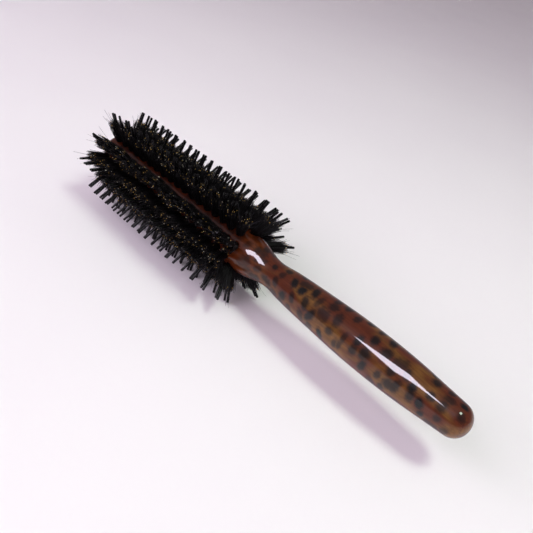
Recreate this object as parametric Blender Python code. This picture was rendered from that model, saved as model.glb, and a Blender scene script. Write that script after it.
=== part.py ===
"""Round barrel hair brush lying on its bristles.

The turned wooden body lies along X with the handle towards +X.  Ten rows of
tufts stand around the barrel, and the two lowest rows rest on Z = 0.
Lengths below are in millimetres; DISTANCE values run along the body from the
far end of the barrel to the tip of the handle.
"""
import math

import bmesh
import bpy
from mathutils import Matrix, Vector

MM = 0.001
MERGE = 1e-6

# Turned wooden body
BODY_LENGTH = 220.5
BARREL_RADIUS = 9.2
BARREL_END = 107.0
FAR_DOME_DEPTH = 7.0
FAR_DOME_STEPS = 4
TIP_DOME_DEPTH = 6.0
TIP_DOME_STEPS = 5
BODY_FACETS = 20
SPLINE_STEPS = 2
# (distance, radius) of the collar, neck and grip
GRIP_STATIONS = (
    (BARREL_END, BARREL_RADIUS),
    (110.5, 8.95),
    (114.0, 8.0),
    (118.0, 6.8),
    (123.5, 6.15),
    (132.5, 7.2),
    (150.5, 8.3),
    (170.5, 9.05),
    (190.5, 8.7),
    (207.5, 7.4),
    (BODY_LENGTH - TIP_DOME_DEPTH, 6.8),
)

# Tufts: ten rows, every other row shifted by half a pitch
ROW_COUNT = 10
ROW_STEP = 2.0 * math.pi / ROW_COUNT
TUFTS_PER_ROW = 18
TUFT_PITCH = 5.45
FIRST_TUFT = (9.1, 11.8)
# How far the end tufts splay outwards at the quill tips: by row at the far end, then at the collar
FAR_LEANS = (2.0, 1.6, 1.2, 0.6, 0.0, 0.0, 0.0, 0.0, 0.4, 0.8)
COLLAR_LEAN = 8.4
LEAN_POWER = 5
TIP_DROP = 1.4
DROP_POWER = 12

# Drilled holes
HOLE_RADIUS = 1.55
HOLE_FLOOR = 4.9
HOLE_SIDES = 6
HOLE_OVERRUN = 1.5

# Boar bristle: radii are measured from the axis of the body
GAP = 0.3
BOAR_ROOT = BARREL_RADIUS + GAP
BOAR_TOP = 20.5
BOAR_ARCH = 16.5
BOAR_HALF_WIDTH_ROOT = 0.7
BOAR_HALF_WIDTH_TOP = 2.6
BOAR_HALF_LENGTH_ROOT = 0.75
BOAR_HALF_LENGTH_TOP = 2.7
LEG_FOOT = HOLE_FLOOR + GAP
LEG_TAPER = 0.8

# Nylon quills: a square pair in every tuft
QUILL_TIP = 25.3
QUILL_HALF = 0.43
QUILL_OFFSET = 0.75
QUILL_WEB_BOTTOM = 18.1
QUILL_WEB_TOP = 18.7

AXIS_HEIGHT = QUILL_TIP * math.cos(ROW_STEP / 2.0) + QUILL_HALF * math.sin(ROW_STEP / 2.0)


def clear_scene():
    for item in list(bpy.data.objects):
        bpy.data.objects.remove(item, do_unlink=True)


def make_collection(name):
    group = bpy.data.collections.new(name)
    bpy.context.scene.collection.children.link(group)
    return group


def make_material(name, colour, roughness, metallic=0.0):
    material = bpy.data.materials.new(name)
    material.use_nodes = True
    shader = material.node_tree.nodes["Principled BSDF"]
    shader.inputs["Base Color"].default_value = (*colour, 1.0)
    shader.inputs["Roughness"].default_value = roughness
    shader.inputs["Metallic"].default_value = metallic
    material.diffuse_color = (*colour, 1.0)
    return material


def make_object(name, bm, group, material=None, smooth=False):
    bmesh.ops.recalc_face_normals(bm, faces=bm.faces[:])
    for face in bm.faces:
        face.smooth = smooth
    mesh = bpy.data.meshes.new(name)
    bm.to_mesh(mesh)
    bm.free()
    if material:
        mesh.materials.append(material)
    item = bpy.data.objects.new(name, mesh)
    group.objects.link(item)
    return item


def place_on_row(angle):
    """Matrix from (along, across, outward) millimetres to the world."""
    outward = Vector((0.0, -math.sin(angle), math.cos(angle)))
    across = outward.cross(Vector((1.0, 0.0, 0.0)))
    turn = Matrix.Identity(4)
    for column, axis in enumerate((Vector((1.0, 0.0, 0.0)), across, outward)):
        for line in range(3):
            turn[line][column] = axis[line] * MM
    start = Vector((-BODY_LENGTH / 2.0 * MM, 0.0, AXIS_HEIGHT * MM))
    return Matrix.Translation(start) @ turn


def spline_point(stations, index, part):
    """Cubic Hermite point between two stations of a profile."""
    (x0, y0), (x1, y1) = stations[index], stations[index + 1]
    span = x1 - x0

    def slope(at):
        low = stations[max(at - 1, 0)]
        high = stations[min(at + 1, len(stations) - 1)]
        return (high[1] - low[1]) / (high[0] - low[0])

    start_slope = 0.0 if index == 0 else slope(index)
    end_slope = slope(index + 1)
    square = part * part
    cube = square * part
    radius = (2 * cube - 3 * square + 1) * y0
    radius += (cube - 2 * square + part) * span * start_slope
    radius += (3 * square - 2 * cube) * y1
    radius += (cube - square) * span * end_slope
    return x0 + part * span, radius


def body_profile():
    """(distance, radius) pairs from the far dome to the tip of the handle."""
    points = []
    for step in range(FAR_DOME_STEPS + 1):
        angle = math.pi / 2.0 * step / FAR_DOME_STEPS
        distance = FAR_DOME_DEPTH * (1.0 - math.cos(angle))
        points.append((distance, BARREL_RADIUS * math.sin(angle)))
    for index in range(len(GRIP_STATIONS) - 1):
        for step in range(SPLINE_STEPS):
            points.append(spline_point(GRIP_STATIONS, index, step / SPLINE_STEPS))
    tip_start, tip_radius = GRIP_STATIONS[-1]
    for step in range(TIP_DOME_STEPS + 1):
        angle = math.pi / 2.0 * step / TIP_DOME_STEPS
        distance = tip_start + TIP_DOME_DEPTH * math.sin(angle)
        points.append((distance, tip_radius * math.cos(angle)))
    return points


def build_body(group, material):
    """Revolve the profile about the body's axis."""
    bm = bmesh.new()
    seam = place_on_row(math.pi / BODY_FACETS)
    verts = [bm.verts.new(seam @ Vector((a, 0.0, r))) for a, r in body_profile()]
    edges = [bm.edges.new(pair) for pair in zip(verts, verts[1:])]
    bmesh.ops.spin(
        bm,
        geom=verts + edges,
        cent=(0.0, 0.0, AXIS_HEIGHT * MM),
        axis=(1.0, 0.0, 0.0),
        angle=2.0 * math.pi,
        steps=BODY_FACETS,
    )
    bmesh.ops.remove_doubles(bm, verts=bm.verts[:], dist=MERGE)
    return make_object("wooden_body", bm, group, material, smooth=True)


def tuft_roots(row):
    first = FIRST_TUFT[row % 2]
    return [first + TUFT_PITCH * index for index in range(TUFTS_PER_ROW)]


def reach(distance):
    """-1 to 1 along the filled part of the barrel."""
    last = FIRST_TUFT[1] + TUFT_PITCH * (TUFTS_PER_ROW - 1)
    middle = (FIRST_TUFT[0] + last) / 2.0
    return (distance - middle) / (last - middle)


def lean(row, distance, radius):
    """Distance along the body of a row's bristle rooted at distance, at a radius."""
    rise = (radius - BOAR_ROOT) / (QUILL_TIP - BOAR_ROOT)
    part = reach(distance)
    most = FAR_LEANS[row] if part < 0.0 else COLLAR_LEAN
    return distance + most * part ** LEAN_POWER * rise


def drill_holes(body, group):
    """Blind holes for the tufts, as one set of hexagonal cutters."""
    bm = bmesh.new()
    depth = BARREL_RADIUS + HOLE_OVERRUN - HOLE_FLOOR
    centre = HOLE_FLOOR + depth / 2.0
    for row in range(ROW_COUNT):
        frame = place_on_row(ROW_STEP * (row + 0.5))
        for root in tuft_roots(row):
            spot = frame @ Matrix.Translation((root, 0.0, centre))
            spot = spot @ Matrix.Rotation(math.pi / 2.0, 4, "Z")
            bmesh.ops.create_cone(
                bm,
                cap_ends=True,
                segments=HOLE_SIDES,
                radius1=HOLE_RADIUS,
                radius2=HOLE_RADIUS,
                depth=depth,
                matrix=spot,
            )
    cutter = make_object("cut_tuft_holes", bm, group)
    cutter.hide_render = True
    cutter.display_type = "WIRE"
    cut = body.modifiers.new("tuft holes", "BOOLEAN")
    cut.operation = "DIFFERENCE"
    cut.solver = "EXACT"
    cut.object = cutter


def thick_outline(outline, half_width):
    """A plate with a side outline of (along, outward) points."""
    bm = bmesh.new()
    face = bm.faces.new([bm.verts.new((s, 0.0, r)) for s, r in outline])
    near = list(face.verts)
    made = bmesh.ops.extrude_face_region(bm, geom=[face], use_keep_orig=True)
    far = [item for item in made["geom"] if isinstance(item, bmesh.types.BMVert)]
    for vert in near:
        vert.co.y = -half_width(vert.co.z)
    for vert in far:
        vert.co.y = half_width(vert.co.z)
    return bm


def boar_half_width(radius):
    rise = (radius - BOAR_ROOT) / (BOAR_TOP - BOAR_ROOT)
    return BOAR_HALF_WIDTH_ROOT + (BOAR_HALF_WIDTH_TOP - BOAR_HALF_WIDTH_ROOT) * rise


def boar_outline(row):
    """Tufts that spread from their roots and meet in arches below the top."""
    roots = tuft_roots(row)
    left = lean(row, roots[0], BOAR_TOP) - BOAR_HALF_LENGTH_TOP
    right = lean(row, roots[-1], BOAR_TOP) + BOAR_HALF_LENGTH_TOP
    outline = [(left, BOAR_TOP)]
    for index, root in enumerate(roots):
        if index:
            middle = (roots[index - 1] + root) / 2.0
            outline.append((lean(row, middle, BOAR_ARCH), BOAR_ARCH))
        outline.append((root - BOAR_HALF_LENGTH_ROOT, BOAR_ROOT))
        outline.append((root + BOAR_HALF_LENGTH_ROOT, BOAR_ROOT))
    outline.append((right, BOAR_TOP))
    return outline


def faces_at(bm, radius):
    """Faces whose corners all lie at one radius."""
    return [f for f in bm.faces if all(abs(v.co.z - radius) < 1e-4 for v in f.verts)]


def add_legs(bm):
    """Carry every tuft down into its hole."""
    made = bmesh.ops.extrude_discrete_faces(bm, faces=faces_at(bm, BOAR_ROOT))
    for face in made["faces"]:
        centre = face.calc_center_median()
        for vert in face.verts:
            vert.co = centre + (vert.co - centre) * LEG_TAPER
            vert.co.z = LEG_FOOT


def sink_quill_groove(bm, left, right):
    """A blind groove along the top, where the web of the quills lies."""
    half_width = QUILL_HALF + GAP
    rim = bmesh.ops.extrude_discrete_faces(bm, faces=faces_at(bm, BOAR_TOP))["faces"]
    for vert in rim[0].verts:
        vert.co.x = left if vert.co.x < (left + right) / 2.0 else right
        vert.co.y = math.copysign(half_width, vert.co.y)
    floor = bmesh.ops.extrude_discrete_faces(bm, faces=rim)["faces"]
    for vert in floor[0].verts:
        vert.co.z = QUILL_WEB_BOTTOM - GAP


def build_boar_row(row, group, material):
    roots = tuft_roots(row)
    bm = thick_outline(boar_outline(row), boar_half_width)
    add_legs(bm)
    side = QUILL_OFFSET + QUILL_HALF + GAP
    left = lean(row, roots[0], BOAR_TOP) - side
    right = lean(row, roots[-1], BOAR_TOP) + side
    sink_quill_groove(bm, left, right)
    bm.transform(place_on_row(ROW_STEP * (row + 0.5)))
    return make_object(f"boar_bristle_row_{row + 1:02d}", bm, group, material)


def quill_tip_radius(root):
    return QUILL_TIP - TIP_DROP * reach(root) ** DROP_POWER


def quill_outline(row):
    """Square-cut quills standing in pairs on a thin web."""
    roots = tuft_roots(row)
    side = QUILL_OFFSET + QUILL_HALF
    outline = [
        (lean(row, roots[0], QUILL_WEB_TOP) - side, QUILL_WEB_BOTTOM),
        (lean(row, roots[-1], QUILL_WEB_TOP) + side, QUILL_WEB_BOTTOM),
    ]
    for root in reversed(roots):
        tip = quill_tip_radius(root)
        foot_centre = lean(row, root, QUILL_WEB_TOP)
        tip_centre = lean(row, root, tip)
        for offset in (QUILL_OFFSET, -QUILL_OFFSET):
            outline.append((foot_centre + offset + QUILL_HALF, QUILL_WEB_TOP))
            outline.append((tip_centre + offset + QUILL_HALF, tip))
            outline.append((tip_centre + offset - QUILL_HALF, tip))
            outline.append((foot_centre + offset - QUILL_HALF, QUILL_WEB_TOP))
    return outline


def build_quill_row(row, group, material):
    bm = thick_outline(quill_outline(row), lambda radius: QUILL_HALF)
    bm.transform(place_on_row(ROW_STEP * (row + 0.5)))
    return make_object(f"nylon_quill_row_{row + 1:02d}", bm, group, material)


def main():
    clear_scene()
    parts = make_collection("round_barrel_brush")
    cutters = make_collection("cutters")
    wood = make_material("lacquered_wood", (0.22, 0.085, 0.04), 0.22)
    boar = make_material("boar_bristle", (0.03, 0.024, 0.02), 0.6)
    nylon = make_material("black_nylon", (0.012, 0.012, 0.014), 0.35)
    body = build_body(parts, wood)
    drill_holes(body, cutters)
    for row in range(ROW_COUNT):
        build_boar_row(row, parts, boar)
        build_quill_row(row, parts, nylon)


main()
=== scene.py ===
"""Round barrel hair brush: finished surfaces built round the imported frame.

A turned hardwood body under thick clear lacquer carries ten rows of tufts. Every tuft is a bunch of
boar bristle with a pair of square-cut nylon quills standing above it. Shapes are worked out in
millimetres with the body's axis as the line y = 0, z = AXIS_HEIGHT, and are stored in metres.
"""

import math

import bpy
import numpy as np
from mathutils import Matrix, Vector


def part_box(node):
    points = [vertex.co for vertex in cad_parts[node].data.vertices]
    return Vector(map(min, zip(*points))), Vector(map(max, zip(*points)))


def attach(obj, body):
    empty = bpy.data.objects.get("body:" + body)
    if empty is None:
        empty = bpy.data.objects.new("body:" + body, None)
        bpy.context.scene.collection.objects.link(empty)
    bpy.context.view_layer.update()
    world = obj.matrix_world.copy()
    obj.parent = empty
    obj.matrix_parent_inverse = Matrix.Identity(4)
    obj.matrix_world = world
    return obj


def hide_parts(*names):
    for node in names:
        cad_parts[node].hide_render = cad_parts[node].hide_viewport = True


MM = 0.001
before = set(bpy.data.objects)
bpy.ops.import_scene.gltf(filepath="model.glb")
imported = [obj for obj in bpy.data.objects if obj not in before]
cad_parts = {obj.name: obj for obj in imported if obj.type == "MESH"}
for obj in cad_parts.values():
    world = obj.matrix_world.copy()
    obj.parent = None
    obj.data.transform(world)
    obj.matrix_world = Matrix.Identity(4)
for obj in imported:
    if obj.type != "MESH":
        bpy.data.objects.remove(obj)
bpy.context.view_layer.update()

# ---------------------------------------------------------------- driving dimensions, millimetres
body_low, body_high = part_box("wooden_body")
BODY_LENGTH = (body_high.x - body_low.x) / MM
AXIS_HEIGHT = (body_high.z + body_low.z) / 2 / MM

# The turned body. Distances run along it from the far end of the barrel to the tip of the grip,
# and the stations are the (distance, radius) pairs of the collar, the neck and the grip.
BARREL_END = 107.0
BARREL_RADIUS = 9.2
FAR_DOME_DEPTH = 7.0
TIP_DOME_DEPTH = 6.0
TIP_START = BODY_LENGTH - TIP_DOME_DEPTH
GRIP_STATIONS = (
    (BARREL_END, BARREL_RADIUS), (110.5, 8.95), (114.0, 8.0), (118.0, 6.8), (123.5, 6.15), (132.5, 7.2),
    (150.5, 8.3), (170.5, 9.05), (190.5, 8.7), (207.5, 7.4), (TIP_START, 6.8),
)

# Ten rows of holes, one for each tuft, every other row shifted along
ROWS = 10
TUFTS = 18
TUFT_PITCH = 5.45
FIRST_TUFT = (9.1, 11.8)
LAST_TUFT = FIRST_TUFT[1] + TUFT_PITCH * (TUFTS - 1)
TUFT_MIDDLE = (FIRST_TUFT[0] + LAST_TUFT) / 2.0
TUFT_REACH = (LAST_TUFT - FIRST_TUFT[0]) / 2.0
HOLE_RADIUS = 1.75
HOLE_DEPTH = 0.8
# The mouth's flat bottom and its rim, as parts of the hole's radius
HOLE_MOUTH = (0.75, 1.1)

# The end tufts splay outwards: how far, at the quills' tips, by row at the far end and at the collar
FAR_END_LEAN = (2.0, 1.6, 1.2, 0.6, 0.0, 0.0, 0.0, 0.0, 0.4, 0.8)
COLLAR_END_LEAN = 8.4
LEAN_POWER = 5
LEAN_START = 9.5
TIP_RADIUS = 25.3

# How far each row's bristle has been brushed to one side
ROW_SWAY = (-0.1, -1.05, 0.9, 0.0, 0.3, -0.2, 0.4, -0.5, 0.3, -0.3)


# ---------------------------------------------------------------- small tools
def smooth_step(low, high, value):
    """0 below low, 1 above high, and a smooth cubic between them."""
    part = np.clip((value - low) / (high - low), 0.0, 1.0)
    return part * part * (3.0 - 2.0 * part)


def unit(vectors):
    """Vectors divided by their own lengths."""
    return vectors / np.linalg.norm(vectors, axis=-1, keepdims=True)


def mesh_piece(name, points, faces, material, attributes=None):
    """A piece from points in millimetres and a list of index arrays, one array for each face size."""
    corners = np.concatenate([part.ravel() for part in faces]).astype(np.int32)
    sizes = np.concatenate([np.full(len(part), part.shape[1]) for part in faces])
    starts = np.concatenate([[0], np.cumsum(sizes)[:-1]]).astype(np.int32)
    mesh = bpy.data.meshes.new(name)
    mesh.vertices.add(len(points))
    mesh.vertices.foreach_set("co", (points * MM).astype(np.float32).ravel())
    mesh.loops.add(len(corners))
    mesh.loops.foreach_set("vertex_index", corners)
    mesh.polygons.add(len(sizes))
    mesh.polygons.foreach_set("loop_start", starts)
    for key, values in (attributes or {}).items():
        stored = mesh.attributes.new(key, "FLOAT", "POINT")
        stored.data.foreach_set("value", values.astype(np.float32).ravel())
    mesh.update(calc_edges=True)
    mesh.materials.append(material)
    piece = bpy.data.objects.new(name, mesh)
    bpy.context.scene.collection.objects.link(piece)
    return piece


def rods(paths, radii, sides, turn):
    """Closed rods along paths.

    paths is (rods, steps, 3) and radii (rods, steps). Ring number i of a rod is a regular polygon of
    that many sides about the path's point i, in the plane square to the rod's chord and turned by
    the rod's own angle. Quads join ring to ring and one flat face closes each end.
    """
    chord = unit(paths[:, -1] - paths[:, 0])
    helper = np.where(np.abs(chord[:, :1]) < 0.8, (1.0, 0.0, 0.0), (0.0, 1.0, 0.0))
    side = unit(np.cross(chord, helper))
    front = np.cross(chord, side)
    angle = turn[:, None] + 2.0 * math.pi * np.arange(sides) / sides
    ring = np.cos(angle)[..., None] * side[:, None] + np.sin(angle)[..., None] * front[:, None]
    points = paths[:, :, None] + radii[:, :, None, None] * ring[:, None]
    index = np.arange(points.size // 3).reshape(points.shape[:3])
    after = np.roll(index, -1, axis=2)
    wall = np.stack((index[:, :-1], after[:, :-1], after[:, 1:], index[:, 1:]), axis=-1)
    root, tip = index[:, 0, ::-1], index[:, -1]
    return points.reshape(-1, 3), [wall.reshape(-1, 4), root, tip]


# ---------------------------------------------------------------- the brush's own geometry
def row_axes(row):
    """Outward and across directions of a row. Row 0 is half a step from the top on the -Y side."""
    angle = 2.0 * math.pi * (row + 0.5) / ROWS
    outward = np.array((0.0, -math.sin(angle), math.cos(angle)))
    return outward, np.cross(outward, (1.0, 0.0, 0.0))


def row_place(row, distance, across, radius):
    """The point at a distance from the far end, across the row and out from the axis."""
    outward, sideways = row_axes(row)
    points = across[..., None] * sideways + radius[..., None] * outward
    points[..., 0] += distance - BODY_LENGTH / 2.0
    points[..., 2] += AXIS_HEIGHT
    return points


def tuft_roots(row):
    """Distances of a row's tufts: the first one and then every pitch."""
    return FIRST_TUFT[row % 2] + TUFT_PITCH * np.arange(TUFTS)


def reach(distance):
    """-1 at the first tuft, 0 at the middle of the barrel and 1 at the last tuft."""
    return (distance - TUFT_MIDDLE) / TUFT_REACH


def lean(row, distance, radius):
    """Distance along the body of a tuft's line at a radius: the end tufts splay outwards.

    The splay grows with the fifth power of the reach, so that the middle tufts stand straight, and in
    a straight line from the wood to the quills' tips."""
    rise = np.maximum((radius - LEAN_START) / (TIP_RADIUS - LEAN_START), 0.0)
    most = np.where(distance < TUFT_MIDDLE, FAR_END_LEAN[row], COLLAR_END_LEAN)
    return distance + most * reach(distance) ** LEAN_POWER * rise


def grip_radius(distance):
    """Cubic Hermite curve through the grip's stations, its slopes the central differences."""
    at = np.array([station[0] for station in GRIP_STATIONS])
    radius = np.array([station[1] for station in GRIP_STATIONS])
    slope = np.gradient(radius, at, edge_order=1)
    slope[1:-1] = (radius[2:] - radius[:-2]) / (at[2:] - at[:-2])
    slope[0] = 0.0
    index = np.clip(np.searchsorted(at, distance, side="right") - 1, 0, len(at) - 2)
    span = at[index + 1] - at[index]
    part = (distance - at[index]) / span
    square, cube = part**2, part**3
    result = (2 * cube - 3 * square + 1) * radius[index]
    result += (cube - 2 * square + part) * span * slope[index]
    result += (3 * square - 2 * cube) * radius[index + 1]
    result += (cube - square) * span * slope[index + 1]
    return result


def sharp_radius(distance):
    """The turned profile: a domed far end, a straight barrel, the curved grip and a domed tip.

    Each dome is an ellipse: the radius times the root of 1 - part * part, where part runs from 0 at
    the dome's rim to 1 at its pole."""
    far = 1.0 - np.clip(distance / FAR_DOME_DEPTH, 0.0, 1.0)
    near = np.clip((distance - TIP_START) / TIP_DOME_DEPTH, 0.0, 1.0)
    grip = grip_radius(np.clip(distance, BARREL_END, TIP_START))
    profile = np.where(distance < TIP_START, grip, GRIP_STATIONS[-1][1])
    profile = np.where(distance < BARREL_END, BARREL_RADIUS, profile)
    return profile * np.sqrt(np.maximum(1.0 - far**2, 0.0)) * np.sqrt(np.maximum(1.0 - near**2, 0.0))


# The bell that eases the profile: its width (one standard deviation) at the collar and along the
# grip, and the stretch where the one turns into the other. The easing grows from none to full
# between each pair of distances that begins or ends it.
COLLAR_EASING = 2.0
TIP_EASING = 0.8
NECK_STRETCH = (126.0, 140.0)
EASING_BEGINS = (96.0, 100.0)
EASING_ENDS = (TIP_START + 2.6, TIP_START - 0.6)
EASING_REACH = 2.5
EASING_SAMPLES = 21


def body_radius(distance):
    """The turned profile with its joins eased, as sandpaper leaves them, from barrel to tip.

    The eased radius is a running mean with bell-shaped weights exp(-shift * shift / 2), where a shift
    is counted in easing widths."""
    shifts = np.linspace(-EASING_REACH, EASING_REACH, EASING_SAMPLES)
    weights = np.exp(-0.5 * shifts**2)
    width = COLLAR_EASING + (TIP_EASING - COLLAR_EASING) * smooth_step(*NECK_STRETCH, distance)
    eased = sum(weight * sharp_radius(distance + shift * width) for weight, shift in zip(weights, shifts))
    share = smooth_step(*EASING_BEGINS, distance) * smooth_step(*EASING_ENDS, distance)
    return sharp_radius(distance) * (1.0 - share) + eased / weights.sum() * share


# ---------------------------------------------------------------- materials
def new_material(name):
    """A material with its node tree and its shader."""
    material = bpy.data.materials.new(name)
    material.use_nodes = True
    tree = material.node_tree
    return material, tree, tree.nodes["Principled BSDF"]


def node(tree, kind, links=None, **settings):
    """A node with its settings, and its inputs given as values or as sockets to link from."""
    made = tree.nodes.new(kind)
    for key, value in settings.items():
        setattr(made, key, value)
    for key, value in (links or {}).items():
        if isinstance(value, bpy.types.NodeSocket):
            tree.links.new(value, made.inputs[key])
        else:
            made.inputs[key].default_value = value
    return made


def math_node(tree, operation, *values):
    """The result of a sum on numbers and sockets."""
    return node(tree, "ShaderNodeMath", dict(enumerate(values)), operation=operation).outputs[0]


def ramp(tree, factor, low, high, start=0.0, end=1.0, smooth=True):
    """start where the factor is low, end where it is high, and smooth or straight between them."""
    kind = "SMOOTHSTEP" if smooth else "LINEAR"
    links = {"Value": factor, "From Min": low, "From Max": high, "To Min": start, "To Max": end}
    return node(tree, "ShaderNodeMapRange", links, interpolation_type=kind).outputs["Result"]


def mix_colour(tree, factor, first, second, blend="MIX"):
    """The first colour where the factor is 0 and the second, or their blend, where it is 1."""
    made = node(tree, "ShaderNodeMix", data_type="RGBA", blend_type=blend)
    for socket, value in ((made.inputs[0], factor), (made.inputs[6], first), (made.inputs[7], second)):
        if isinstance(value, bpy.types.NodeSocket):
            tree.links.new(value, socket)
        else:
            socket.default_value = value
    return made.outputs[2]


DISPLAY_GAMMA = 2.2


def colour(red, green, blue):
    """A colour from the usual 0 to 255 display values."""
    values = (np.array((red, green, blue)) / 255.0) ** DISPLAY_GAMMA
    return (*values.tolist(), 1.0)


def stretched_noise_group():
    """Noise drawn out along the body's length. Sizes are the pattern's features in metres."""
    group = bpy.data.node_groups.new("stretched_noise", "ShaderNodeTree")
    for name, value in (("Length", 0.01), ("Width", 0.003), ("Detail", 3.0)):
        socket = group.interface.new_socket(name=name, in_out="INPUT", socket_type="NodeSocketFloat")
        socket.default_value = value
    group.interface.new_socket(name="Value", in_out="OUTPUT", socket_type="NodeSocketFloat")
    inputs = node(group, "NodeGroupInput").outputs
    outputs = node(group, "NodeGroupOutput")
    along = math_node(group, "DIVIDE", 1.0, inputs["Length"])
    round_it = math_node(group, "DIVIDE", 1.0, inputs["Width"])
    scale = node(group, "ShaderNodeCombineXYZ", {"X": along, "Y": round_it, "Z": round_it})
    place = node(group, "ShaderNodeTexCoord").outputs["Object"]
    scaled = node(group, "ShaderNodeVectorMath", {0: place, 1: scale.outputs[0]}, operation="MULTIPLY")
    links = {"Vector": scaled.outputs[0], "Scale": 1.0, "Detail": inputs["Detail"]}
    noise = node(group, "ShaderNodeTexNoise", links)
    group.links.new(noise.outputs["Fac"], outputs.inputs["Value"])
    return group


def stretched_noise(tree, length, width, detail):
    """The shared noise group placed in a material with the finish's own sizes."""
    made = node(tree, "ShaderNodeGroup")
    made.node_tree = bpy.data.node_groups["stretched_noise"]
    for name, value in (("Length", length), ("Width", width), ("Detail", detail)):
        made.inputs[name].default_value = value
    return made.outputs["Value"]


def attribute(tree, name):
    """A value stored at the mesh's points."""
    return node(tree, "ShaderNodeAttribute", attribute_name=name).outputs["Fac"]


RED_WOOD = colour(110, 49, 24)
AMBER_WOOD = colour(138, 90, 39)
CHARCOAL_SPOT = colour(19, 16, 17)
AMBER_STARTS, AMBER_FULL = -0.01, 0.03
SPOT_WOBBLE = 0.7
SPOT_OUTSIDE, SPOT_HEART = 1.4, 0.45


def lacquered_wood():
    """Reddish brown hardwood with soft charcoal spots, under a thick clear lacquer.

    Amber patches come in from the neck to the grip. A spot is darkest where its field is under
    SPOT_HEART and has faded out at SPOT_OUTSIDE, and fine noise wobbles its edge."""
    material, tree, shader = new_material("lacquered_wood")
    broad = stretched_noise(tree, length=0.016, width=0.007, detail=2.0)
    grain = stretched_noise(tree, length=0.006, width=0.0007, detail=4.0)
    fine = stretched_noise(tree, length=0.0012, width=0.0009, detail=3.0)
    place = node(tree, "ShaderNodeTexCoord").outputs["Object"]
    along = node(tree, "ShaderNodeSeparateXYZ", {0: place}).outputs["X"]
    patches = ramp(tree, broad, 0.4, 0.62)
    amber = math_node(tree, "MULTIPLY", patches, ramp(tree, along, AMBER_STARTS, AMBER_FULL))
    warm = mix_colour(tree, amber, RED_WOOD, AMBER_WOOD)
    streak = ramp(tree, grain, 0.35, 0.7, start=0.72, end=1.12, smooth=False)
    grey = node(tree, "ShaderNodeCombineColor", {0: streak, 1: streak, 2: streak}).outputs[0]
    wood = mix_colour(tree, 1.0, warm, grey, "MULTIPLY")
    wobble = math_node(tree, "MULTIPLY_ADD", fine, SPOT_WOBBLE, -0.5 * SPOT_WOBBLE)
    field = math_node(tree, "ADD", attribute(tree, "spot_field"), wobble)
    spot = ramp(tree, field, SPOT_OUTSIDE, SPOT_HEART)
    spot = math_node(tree, "MULTIPLY", spot, attribute(tree, "spot_depth"))
    finished = mix_colour(tree, spot, wood, CHARCOAL_SPOT)
    tree.links.new(finished, shader.inputs["Base Color"])
    rough = ramp(tree, grain, 0.3, 0.7, start=0.32, end=0.46, smooth=False)
    tree.links.new(rough, shader.inputs["Roughness"])
    shader.inputs["Specular IOR Level"].default_value = 0.12
    shader.inputs["Coat Weight"].default_value = 1.0
    shader.inputs["Coat Roughness"].default_value = 0.035
    shader.inputs["Coat IOR"].default_value = 1.52
    bump = node(tree, "ShaderNodeBump", {"Height": grain, "Strength": 0.12, "Distance": 0.0001})
    tree.links.new(bump.outputs["Normal"], shader.inputs["Normal"])
    return material


BRISTLE_DARK = colour(20, 19, 21)
BRISTLE_LIGHT = colour(52, 49, 52)
# Painted sheen: the stray hairs are coloured light grey all along, standing in for the softbox's gleam on
# them
STRAY_HAIR_SHEEN = colour(78, 76, 84)
# The tips' colours, each with the tones between which it comes in. The last, near white one is a painted
# glint, not a colour of the hair.
TIP_COLOURS_AND_GLINTS = (
    (0.8, 0.82, colour(108, 102, 104)),
    (0.91, 0.93, colour(238, 192, 106)),
    # Painted glint: near white on the fewest tips
    (0.97, 0.98, colour(255, 250, 236)),
)
# Ordinary hairs have tones from 0 to 1
STRAY_TONE = 2.0


def boar_bristle():
    """Near black bristle: grey tips on some hairs, gold on fewer, a painted pale glint on the fewest
    tips, and painted grey sheen on the strays.
    """
    material, tree, shader = new_material("boar_bristle")
    along = attribute(tree, "along")
    tone = attribute(tree, "tone")
    scales = stretched_noise(tree, length=0.0006, width=0.0006, detail=2.0)
    finished = mix_colour(tree, ramp(tree, scales, 0.3, 0.75), BRISTLE_DARK, BRISTLE_LIGHT)
    tip = ramp(tree, along, 0.955, 0.985)
    for starts, full, tip_colour_and_glint in TIP_COLOURS_AND_GLINTS:
        share = math_node(tree, "MULTIPLY", tip, ramp(tree, tone, starts, full))
        finished = mix_colour(tree, share, finished, tip_colour_and_glint)
    # Painted sheen: strays turn light grey along their whole length
    stray_sheen = ramp(tree, tone, 0.7 * STRAY_TONE, 0.8 * STRAY_TONE)
    finished = mix_colour(tree, stray_sheen, finished, STRAY_HAIR_SHEEN)
    tree.links.new(finished, shader.inputs["Base Color"])
    rough = ramp(tree, scales, 0.3, 0.7, start=0.36, end=0.56)
    tree.links.new(rough, shader.inputs["Roughness"])
    shader.inputs["Specular IOR Level"].default_value = 0.3
    return material


NYLON_DARK = colour(8, 8, 9)
NYLON_LIGHT = colour(21, 20, 22)
NYLON_CUT = colour(26, 25, 26)


def black_nylon():
    """Extruded black nylon: satin and faintly mottled, with a duller cut end."""
    material, tree, shader = new_material("black_nylon")
    mottle = stretched_noise(tree, length=0.0009, width=0.0009, detail=3.0)
    base = mix_colour(tree, ramp(tree, mottle, 0.3, 0.7), NYLON_DARK, NYLON_LIGHT)
    cut = ramp(tree, attribute(tree, "along"), 0.985, 0.999)
    finished = mix_colour(tree, cut, base, NYLON_CUT)
    tree.links.new(finished, shader.inputs["Base Color"])
    rough = ramp(tree, mottle, 0.3, 0.7, start=0.22, end=0.34)
    tree.links.new(rough, shader.inputs["Roughness"])
    shader.inputs["Specular IOR Level"].default_value = 0.3
    bump = node(tree, "ShaderNodeBump", {"Height": mottle, "Strength": 0.15, "Distance": 0.00005})
    tree.links.new(bump.outputs["Normal"], shader.inputs["Normal"])
    return material


# ---------------------------------------------------------------- wooden body
BODY_STEPS = 520
BODY_SECTORS = 160
DOME_RINGS = 21

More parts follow.
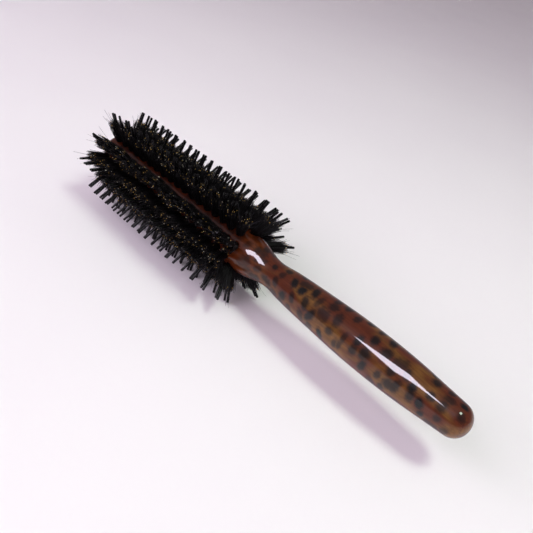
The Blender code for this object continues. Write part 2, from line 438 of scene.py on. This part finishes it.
# Spots: a grid over the unrolled surface, then how much each spot departs from it. Sizes are in
# millimetres, angles in radians and SPOT_SHIFT_ROUND in steps of the grid.
SPOT_SEED = 41
SPOT_PITCH = 5.3
SPOTS_ROUND = 10
SPOT_FIRST = 3.0
SPOT_ROUND_RADIUS = 8.2
SPOT_SHIFT_ALONG = 0.95
SPOT_SHIFT_ROUND = 0.24
SPOT_HALF_SIZE = (1.65, 2.6)
SPOT_OVAL = (0.88, 1.42)
SPOT_TILT = 0.5
SPOT_DARKNESS = (0.66, 1.0)
SPOTS_MISSING = 0.14
SPOTS_PAIRED = 0.2
SPOT_PAIR_ALONG = 2.1
SPOT_PAIR_ROUND = 0.12
COLLAR_STRETCH = (104.0, 126.0)
COLLAR_DARKNESS = 0.62
NO_SPOT = 9.0


def body_stations():
    """Distances of the rings: evenly spaced, and at equal angles of a quarter turn on each dome."""
    quarter = np.linspace(0.0, math.pi / 2.0, DOME_RINGS)
    far = FAR_DOME_DEPTH * (1.0 - np.cos(quarter))
    near = TIP_START + TIP_DOME_DEPTH * np.sin(quarter)
    middle = np.linspace(FAR_DOME_DEPTH, TIP_START, BODY_STEPS)
    return np.concatenate((far[1:-1], middle, near[1:-1]))


def hole_recess(distance, angle):
    """Depth of the countersunk mouths of the tuft holes, at a distance and an angle.

    It is full under the middle of the nearest hole and falls smoothly to nothing at the hole's rim."""
    row = np.floor(angle / (2.0 * math.pi) * ROWS).astype(int) % ROWS
    first = np.where(row % 2 == 0, FIRST_TUFT[0], FIRST_TUFT[1])
    index = np.clip(np.round((distance - first) / TUFT_PITCH), 0, TUFTS - 1)
    along = distance - first - TUFT_PITCH * index
    sideways = BARREL_RADIUS * (angle - 2.0 * math.pi * (row + 0.5) / ROWS)
    away = np.hypot(along, sideways)
    return HOLE_DEPTH * (1.0 - smooth_step(*HOLE_MOUTH, away / HOLE_RADIUS))


def spot_list():
    """Seeded spots on the unrolled surface: a staggered grid, jittered, some missing, some paired.

    Each is (distance, angle, half length, half width, tilt, darkness)."""
    rng = np.random.default_rng(SPOT_SEED)
    rings = int(BODY_LENGTH / SPOT_PITCH)
    ring, place = np.meshgrid(np.arange(rings), np.arange(SPOTS_ROUND), indexing="ij")
    distance = SPOT_FIRST + SPOT_PITCH * ring + rng.normal(0.0, SPOT_SHIFT_ALONG, ring.shape)
    step = 2.0 * math.pi / SPOTS_ROUND
    angle = step * (place + 0.5 * (ring % 2)) + rng.normal(0.0, SPOT_SHIFT_ROUND * step, ring.shape)
    size = rng.uniform(*SPOT_HALF_SIZE, ring.shape)
    oval = rng.uniform(*SPOT_OVAL, ring.shape)
    tilt = rng.uniform(-SPOT_TILT, SPOT_TILT, ring.shape)
    dark = rng.uniform(*SPOT_DARKNESS, ring.shape)
    kept = rng.random(ring.shape) > SPOTS_MISSING
    spots = np.stack((distance, angle, size / oval, size * oval, tilt, dark), axis=-1)[kept]
    paired = spots[rng.random(len(spots)) < SPOTS_PAIRED].copy()
    paired[:, 0] += rng.choice((-1.0, 1.0), len(paired)) * SPOT_PAIR_ALONG
    paired[:, 1] += rng.uniform(-SPOT_PAIR_ROUND, SPOT_PAIR_ROUND, len(paired))
    spots = np.concatenate((spots, paired))
    past_collar = smooth_step(*COLLAR_STRETCH, spots[:, 0])
    spots[:, 5] *= COLLAR_DARKNESS + (1.0 - COLLAR_DARKNESS) * past_collar
    return spots


def spot_fields(distance, angle):
    """Two values over the surface: how far from the nearest spot, 1 on its edge, and how dark it is.

    The first is the length of (along / half length, round / half width) in the spot's tilted axes."""
    field = np.full(distance.shape, NO_SPOT)
    depth = np.zeros(distance.shape)
    for where, turn, half_length, half_width, tilt, dark in spot_list():
        along = distance - where
        sideways = (angle - turn + math.pi) % (2.0 * math.pi) - math.pi
        sideways = sideways * SPOT_ROUND_RADIUS
        first = (along * math.cos(tilt) + sideways * math.sin(tilt)) / half_length
        second = (sideways * math.cos(tilt) - along * math.sin(tilt)) / half_width
        away = np.hypot(first, second)
        nearer = away < field
        field = np.where(nearer, away, field)
        depth = np.where(nearer, dark, depth)
    return field, depth


def make_body(material):
    """Surface of revolution: at each distance a circle of the profile's radius, less the recesses."""
    stations = body_stations()
    angles = 2.0 * math.pi * np.arange(BODY_SECTORS) / BODY_SECTORS
    distance, angle = np.meshgrid(stations, angles, indexing="ij")
    radius = body_radius(distance) - hole_recess(distance, angle)
    x = distance - BODY_LENGTH / 2.0
    grid = np.stack((x, -radius * np.sin(angle), AXIS_HEIGHT + radius * np.cos(angle)), axis=-1)
    poles = np.array(((-BODY_LENGTH / 2.0, 0.0, AXIS_HEIGHT), (BODY_LENGTH / 2.0, 0.0, AXIS_HEIGHT)))
    points = np.concatenate((grid.reshape(-1, 3), poles))
    index = np.arange(distance.size).reshape(distance.shape)
    after = np.roll(index, -1, axis=1)
    wall = np.stack((index[:-1], index[1:], after[1:], after[:-1]), axis=-1).reshape(-1, 4)
    far = np.full(BODY_SECTORS, distance.size)
    near = far + 1
    far_cap = np.stack((index[0], after[0], far), axis=-1)
    near_cap = np.stack((after[-1], index[-1], near), axis=-1)
    field, depth = spot_fields(
        np.append(distance.ravel(), (0.0, BODY_LENGTH)), np.append(angle.ravel(), (0.0, 0.0))
    )
    values = {"spot_field": field, "spot_depth": depth}
    body = mesh_piece("turned_wooden_body", points, [wall, far_cap, near_cap], material, values)
    body.data.shade_smooth()
    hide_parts("wooden_body")
    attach(body, "root")
    return body


# ---------------------------------------------------------------- tufts
FLOOR_CLEARANCE = 0.02

# Boar hairs: places of the rings as parts of a hair's length, then sizes in millimetres. A spread is
# the standard deviation of a seeded random shift.
HAIR_PARTS = np.array((0.0, 0.34, 0.68, 0.965, 1.0))
HAIR_SEED = 700
HAIR_SIDES = 3
HAIRS_PER_TUFT = 170
HAIR_ROOT_RADIUS = 7.6
HAIR_TIP_RADIUS = 19.8
HAIR_TIP_LIMITS = (17.0, 21.9)
HAIR_TIP_SPREAD = 0.7
CROWN_ROUNDING = 1.5
# How much shorter each row is trimmed
ROW_TRIM = (0.0, 0.0, 0.3, 1.1, 0.4, 0.0, 0.0, 0.0, 0.0, 0.0)
HAIR_THICKNESS = 0.13
HAIR_THICKNESS_RANGE = (0.75, 1.15)
HAIR_TAPER = np.interp(HAIR_PARTS, (0.0, 0.6, 1.0), (1.0, 0.95, 0.7))
HAIR_DRIFT_SPREAD = 0.45
HAIR_BOW_SPREAD = 0.55
BUNCH_RADIUS = 1.6
BUNCH_FAN_ACROSS = 3.2
BUNCH_FAN_ALONG = 2.9
BUNCH_STAND_SPREAD = 0.5
BUNCH_OPENING = 0.9
END_TUFT_POWER = 8
END_TUFT_NARROWING = 0.12
END_TUFT_WIDENING = 0.25
SPLIT_TONE = 0.92
SPLIT_WIDENING = 2.3

# Stray hairs: the tufts they come from, the end ones several times over
STRAYS_PER_ROW = 32
STRAY_TUFTS = (0, 0, 0, 1, 4, 9, 13, 16, 17, 17, 17)
STRAY_TOP = (19.5, 23.6)
STRAY_DRIFT_SPREAD = 3.4
STRAY_SWAY_SPREAD = 2.4
STRAY_OUTWARD = 1.5
STRAY_CURL = 1.8
STRAY_THINNESS = 0.6

# Nylon quills
QUILL_PARTS = np.array((0.0, 0.4, 0.75, 0.985, 1.0))
QUILL_TAPER = np.array((1.0, 1.0, 1.0, 1.0, 0.86))
QUILL_SEED = 900
QUILL_SIDES = 10
QUILL_EDGE = math.radians(40.0)
QUILL_HALF_WIDTH = 0.57
QUILL_WIDTH_RANGE = (0.94, 1.05)
QUILL_ROOT_RADIUS = 7.0
QUILL_SHORTENING = 1.4
QUILL_SHORTENING_POWER = 12
QUILL_UNEVENNESS = (0.05, 0.5)
PAIR_TWIST_SPREAD = 0.45
PAIR_HALF_GAP = (0.55, 0.95)
PAIR_ROOT_SHARE = 0.55
PAIR_LEAN_SPREAD = 0.27
QUILL_LEAN_SPREAD = 0.12
QUILL_BOW_SPREAD = 0.3


def above_floor(points):
    """Nothing reaches below the surface that the lowest rows rest on."""
    points[:, 2] = np.maximum(points[:, 2], FLOOR_CLEARANCE)
    return points


def hair_paths(row, rng):
    """Centre lines of a row's boar hairs.

    A hair's root is a random point of the hole's disc. Its tip is the same point of a wider oval
    farther out, moved along the body by the tuft's lean, and the line between them bows sideways by
    part * (1 - part). The crown is rounded: outer hairs are shorter by the square of their spread."""
    roots = np.repeat(tuft_roots(row), HAIRS_PER_TUFT)
    count = len(roots)
    spread = np.sqrt(rng.random(count))
    direction = rng.uniform(0.0, 2.0 * math.pi, count)
    along, across = spread * np.cos(direction), spread * np.sin(direction)
    end = np.abs(reach(roots)) ** END_TUFT_POWER
    stand = np.repeat(rng.normal(0.0, BUNCH_STAND_SPREAD, (2, TUFTS)), HAIRS_PER_TUFT, axis=1)
    tip_radius = HAIR_TIP_RADIUS - ROW_TRIM[row] + rng.normal(0.0, HAIR_TIP_SPREAD, count)
    tip_radius = np.clip(tip_radius - CROWN_ROUNDING * spread**2, *HAIR_TIP_LIMITS)
    fan_across = BUNCH_FAN_ACROSS * (1.0 - END_TUFT_NARROWING * end)
    fan_along = BUNCH_FAN_ALONG * (1.0 + END_TUFT_WIDENING * end)
    tip_along = along * fan_along + stand[0] + rng.normal(0.0, HAIR_DRIFT_SPREAD, count)
    tip_across = across * fan_across + ROW_SWAY[row] + stand[1]
    tip_across = tip_across + rng.normal(0.0, HAIR_DRIFT_SPREAD, count)
    bow = rng.normal(0.0, HAIR_BOW_SPREAD, (2, count, 1))
    part = HAIR_PARTS[None, :]
    swell = part * (1.0 - part)
    widen = part**BUNCH_OPENING
    radius = HAIR_ROOT_RADIUS + (tip_radius - HAIR_ROOT_RADIUS)[:, None] * part
    distance = lean(row, roots[:, None], radius)
    distance = distance + along[:, None] * BUNCH_RADIUS * (1.0 - widen) + tip_along[:, None] * widen
    sideways = across[:, None] * BUNCH_RADIUS * (1.0 - widen) + tip_across[:, None] * widen
    return row_place(row, distance + bow[0] * swell, sideways + bow[1] * swell, radius)


def stray_paths(row, rng):
    """A few long thin hairs that have come loose, most of them at the row's two ends.

    A stray leaves its tuft's line by its drift times a power of the part, so it curls more and more
    towards its tip."""
    roots = tuft_roots(row)[rng.choice(STRAY_TUFTS, STRAYS_PER_ROW)]
    part = HAIR_PARTS[None, :]
    top = rng.uniform(*STRAY_TOP, STRAYS_PER_ROW)
    radius = HAIR_ROOT_RADIUS + (top - HAIR_ROOT_RADIUS)[:, None] * part
    drift = rng.normal(0.0, STRAY_DRIFT_SPREAD, STRAYS_PER_ROW) + STRAY_OUTWARD * reach(roots)
    sway = rng.normal(0.0, STRAY_SWAY_SPREAD, STRAYS_PER_ROW)
    distance = lean(row, roots[:, None], radius) + drift[:, None] * part**STRAY_CURL
    return row_place(row, distance, sway[:, None] * part**STRAY_CURL, radius)


def make_boar_row(row, material):
    """One row's boar bristle: three-sided tapering hairs, thick to near the end and then split."""
    rng = np.random.default_rng(HAIR_SEED + row)
    paths = np.concatenate((hair_paths(row, rng), stray_paths(row, rng)))
    count = len(paths)
    thickness = HAIR_THICKNESS * rng.uniform(*HAIR_THICKNESS_RANGE, count)
    thickness[-STRAYS_PER_ROW:] *= STRAY_THINNESS
    tone = rng.random(count)
    radii = thickness[:, None] * HAIR_TAPER
    radii[:, -1] *= np.where(tone > SPLIT_TONE, SPLIT_WIDENING, 1.0)
    tone[-STRAYS_PER_ROW:] = STRAY_TONE
    points, faces = rods(paths, radii, HAIR_SIDES, rng.uniform(0.0, 2.0, count))
    along = np.broadcast_to(HAIR_PARTS[None, :, None], (count, len(HAIR_PARTS), HAIR_SIDES))
    tone = np.broadcast_to(tone[:, None, None], along.shape)
    name = f"boar_tufts_row_{row + 1:02d}"
    piece = mesh_piece(name, above_floor(points), faces, material, {"along": along, "tone": tone})
    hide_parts(f"boar_bristle_row_{row + 1:02d}")
    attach(piece, "root")
    return piece


def quill_paths(row, rng):
    """Centre lines of a row's quills: two to a tuft, set apart along the row and slightly splayed.

    A pair's line is twisted about the tuft's own axis, its gap opens from the root to the tip, and
    each quill bows sideways by part * (1 - part)."""
    roots = np.repeat(tuft_roots(row), 2)
    count = len(roots)
    side = np.tile((-1.0, 1.0), TUFTS)
    twist = np.repeat(rng.normal(0.0, PAIR_TWIST_SPREAD, TUFTS), 2)
    gap = np.repeat(rng.uniform(*PAIR_HALF_GAP, TUFTS), 2)
    pair_lean = np.repeat(rng.normal(0.0, PAIR_LEAN_SPREAD, (2, TUFTS)), 2, axis=1)
    own_lean = rng.normal(0.0, QUILL_LEAN_SPREAD, (2, count))
    shortening = QUILL_SHORTENING * np.abs(reach(roots)) ** QUILL_SHORTENING_POWER
    tip_radius = TIP_RADIUS - shortening - rng.uniform(*QUILL_UNEVENNESS, count)
    part = QUILL_PARTS[None, :]
    radius = QUILL_ROOT_RADIUS + (tip_radius - QUILL_ROOT_RADIUS)[:, None] * part
    along = side * gap * np.cos(twist)
    across = side * gap * np.sin(twist)
    opening = PAIR_ROOT_SHARE + (1.0 - PAIR_ROOT_SHARE) * part
    bow = rng.normal(0.0, QUILL_BOW_SPREAD, (2, count, 1)) * part * (1.0 - part)
    distance = lean(row, roots[:, None], radius) + along[:, None] * opening
    distance = distance + (pair_lean[0] + own_lean[0])[:, None] * part + bow[0]
    tip_across = pair_lean[1] + own_lean[1] + 0.5 * ROW_SWAY[row]
    sideways = across[:, None] * opening + tip_across[:, None] * part + bow[1]
    return row_place(row, distance, sideways, radius)


def make_quill_row(row, material):
    """One row's nylon quills: round pins, cut square, with the cut's edge just broken."""
    rng = np.random.default_rng(QUILL_SEED + row)
    paths = quill_paths(row, rng)
    count = len(paths)
    radii = QUILL_HALF_WIDTH * rng.uniform(*QUILL_WIDTH_RANGE, count)[:, None] * QUILL_TAPER
    points, faces = rods(paths, radii, QUILL_SIDES, rng.uniform(0.0, 2.0, count))
    along = np.broadcast_to(QUILL_PARTS[None, :, None], (count, len(QUILL_PARTS), QUILL_SIDES))
    name = f"nylon_quills_row_{row + 1:02d}"
    piece = mesh_piece(name, above_floor(points), faces, material, {"along": along})
    piece.data.shade_smooth()
    piece.data.set_sharp_from_angle(angle=QUILL_EDGE)
    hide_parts(f"nylon_quill_row_{row + 1:02d}")
    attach(piece, "root")
    return piece


# ---------------------------------------------------------------- studio, in metres
FLOOR_SIZE = 12.0
FLOOR_DULL = colour(238, 235, 238)
FLOOR_BRIGHT = colour(244, 242, 243)
# Painted shade: the floor as the lacquer mirrors it, darker than the floor itself
FLOOR_PAINTED_SHADE_IN_GLOSS = colour(205, 201, 205)

BRUSH_MIDDLE = Vector((0.02, 0.0, 0.02))
GRIP_MIDDLE = Vector((0.08, 0.0, 0.024))
KEY_WAY = Vector((0.38, 0.0, 1.0)).normalized()
SOFTBOX_WAY = Vector((-0.14, -0.58, 0.81)).normalized()
SOFTBOX_TILT = math.radians(50.0)
FILL_WAY = Vector((-0.45, -1.0, 0.75)).normalized()
ROOM_TINT = (1.0, 0.89, 0.97, 1.0)
ROOM_LIGHT = 0.42
ROOM_GLEAM = 0.17

CAMERA_PLACE = Vector((0.13706, -0.17669, 0.15493))
CAMERA_TARGET = Vector((0.00764, 0.00047, 0.02483))
CAMERA_ROUND = math.radians(2.5)
CAMERA_LEAN = math.radians(18.05)
CAMERA_LENS = 40.53


def make_floor():
    """A plain pale sweep of floor, with painted shade where the lacquer mirrors it: glossy rays see it a
    little darker.
    """
    bpy.ops.mesh.primitive_grid_add(x_subdivisions=4, y_subdivisions=4, size=FLOOR_SIZE)
    floor = bpy.context.object
    floor.name = "studio_floor"
    material, tree, shader = new_material("pale_floor")
    cloud = node(tree, "ShaderNodeTexNoise", {"Scale": 6.0, "Detail": 2.0})
    place = node(tree, "ShaderNodeTexCoord").outputs["Object"]
    tree.links.new(place, cloud.inputs["Vector"])
    pale = mix_colour(tree, cloud.outputs["Fac"], FLOOR_DULL, FLOOR_BRIGHT)
    # Painted shade in the lacquer's reflection of the floor
    glossy = node(tree, "ShaderNodeLightPath").outputs["Is Glossy Ray"]
    shaded_in_gloss = mix_colour(tree, glossy, pale, FLOOR_PAINTED_SHADE_IN_GLOSS)
    tree.links.new(shaded_in_gloss, shader.inputs["Base Color"])
    shader.inputs["Roughness"].default_value = 0.55
    shader.inputs["Specular IOR Level"].default_value = 0.25
    floor.data.materials.append(material)
    return floor


def area_light(name, target, way, distance, size, power, tint):
    """A rectangular light at a distance from its target, looking back along the way to it."""
    data = bpy.data.lights.new(name, "AREA")
    data.shape = "RECTANGLE"
    data.size, data.size_y = size
    data.energy = power
    data.color = tint
    light = bpy.data.objects.new(name, data)
    bpy.context.scene.collection.objects.link(light)
    light.location = target + way * distance
    light.rotation_mode = "QUATERNION"
    light.rotation_quaternion = (target - light.location).to_track_quat("-Z", "Y")
    return light


def stand_on_corner(light, way):
    """Turn a light so that its diagonals lie about along and across the brush, tilted lengthways."""
    along = (Vector((1.0, 0.0, 0.0)) - way * way.x).normalized()
    across = way.cross(along)
    tilted = math.cos(SOFTBOX_TILT) * along + math.sin(SOFTBOX_TILT) * way
    first = (tilted + across).normalized()
    second = (across - tilted).normalized()
    turn = Matrix((first, second, first.cross(second))).transposed()
    light.rotation_quaternion = turn.to_quaternion()


def make_lights(floor):
    """A high, faintly green key beyond the handle, and a lilac softbox seen only as the long gleam.

    A broad lilac fill in front lights the floor alone, so that the shadows on it stay light."""
    area_light(
        "key", BRUSH_MIDDLE, KEY_WAY,
        distance=0.8, size=(0.18, 0.18), power=1.36, tint=(0.83, 1.0, 0.82),
    )
    softbox = area_light(
        "front_softbox", GRIP_MIDDLE, SOFTBOX_WAY,
        distance=0.9, size=(0.47, 0.31), power=7.8, tint=(0.93, 0.86, 1.0),
    )
    stand_on_corner(softbox, SOFTBOX_WAY)
    softbox.visible_diffuse = False
    fill = area_light(
        "floor_fill", BRUSH_MIDDLE, FILL_WAY,
        distance=1.3, size=(1.6, 0.9), power=14.6, tint=(0.965, 0.825, 1.0),
    )
    fill.visible_glossy = False
    lit_by_fill = bpy.data.collections.new("lit_by_floor_fill")
    lit_by_fill.objects.link(floor)
    fill.light_linking.receiver_collection = lit_by_fill


def make_room():
    """Pale light from all round, dimmer where the lacquer mirrors it."""
    world = bpy.data.worlds.new("pale_room")
    bpy.context.scene.world = world
    world.use_nodes = True
    tree = world.node_tree
    background = tree.nodes["Background"]
    background.inputs["Color"].default_value = ROOM_TINT
    glossy = node(tree, "ShaderNodeLightPath").outputs["Is Glossy Ray"]
    strength = math_node(tree, "MULTIPLY_ADD", glossy, ROOM_GLEAM - ROOM_LIGHT, ROOM_LIGHT)
    tree.links.new(strength, background.inputs["Strength"])


def make_camera():
    """The camera looks down on the grip's side, leaned about its line of sight.

    It is then turned a little about the brush's own axis."""
    data = bpy.data.cameras.new("camera")
    data.lens = CAMERA_LENS
    data.clip_start = 0.01
    camera = bpy.data.objects.new("camera", data)
    bpy.context.scene.collection.objects.link(camera)
    ahead = (CAMERA_TARGET - CAMERA_PLACE).normalized()
    level = ahead.cross(Vector((0.0, 0.0, 1.0))).normalized()
    above = level.cross(ahead)
    right = math.cos(CAMERA_LEAN) * level + math.sin(CAMERA_LEAN) * above
    up = math.cos(CAMERA_LEAN) * above - math.sin(CAMERA_LEAN) * level
    turn = Matrix((right, up, -ahead)).transposed()
    axis_point = Matrix.Translation((0.0, 0.0, AXIS_HEIGHT * MM))
    about = axis_point @ Matrix.Rotation(-CAMERA_ROUND, 4, "X") @ axis_point.inverted()
    camera.matrix_world = about @ Matrix.Translation(CAMERA_PLACE) @ turn.to_4x4()
    bpy.context.scene.camera = camera


def main():
    """Camera first, then the brush from the wood outwards, then the studio."""
    make_camera()
    stretched_noise_group()
    wood, boar, nylon = lacquered_wood(), boar_bristle(), black_nylon()
    make_body(wood)
    for row in range(ROWS):
        make_boar_row(row, boar)
        make_quill_row(row, nylon)
    make_lights(make_floor())
    make_room()
    bpy.context.scene.view_settings.view_transform = "Standard"


main()
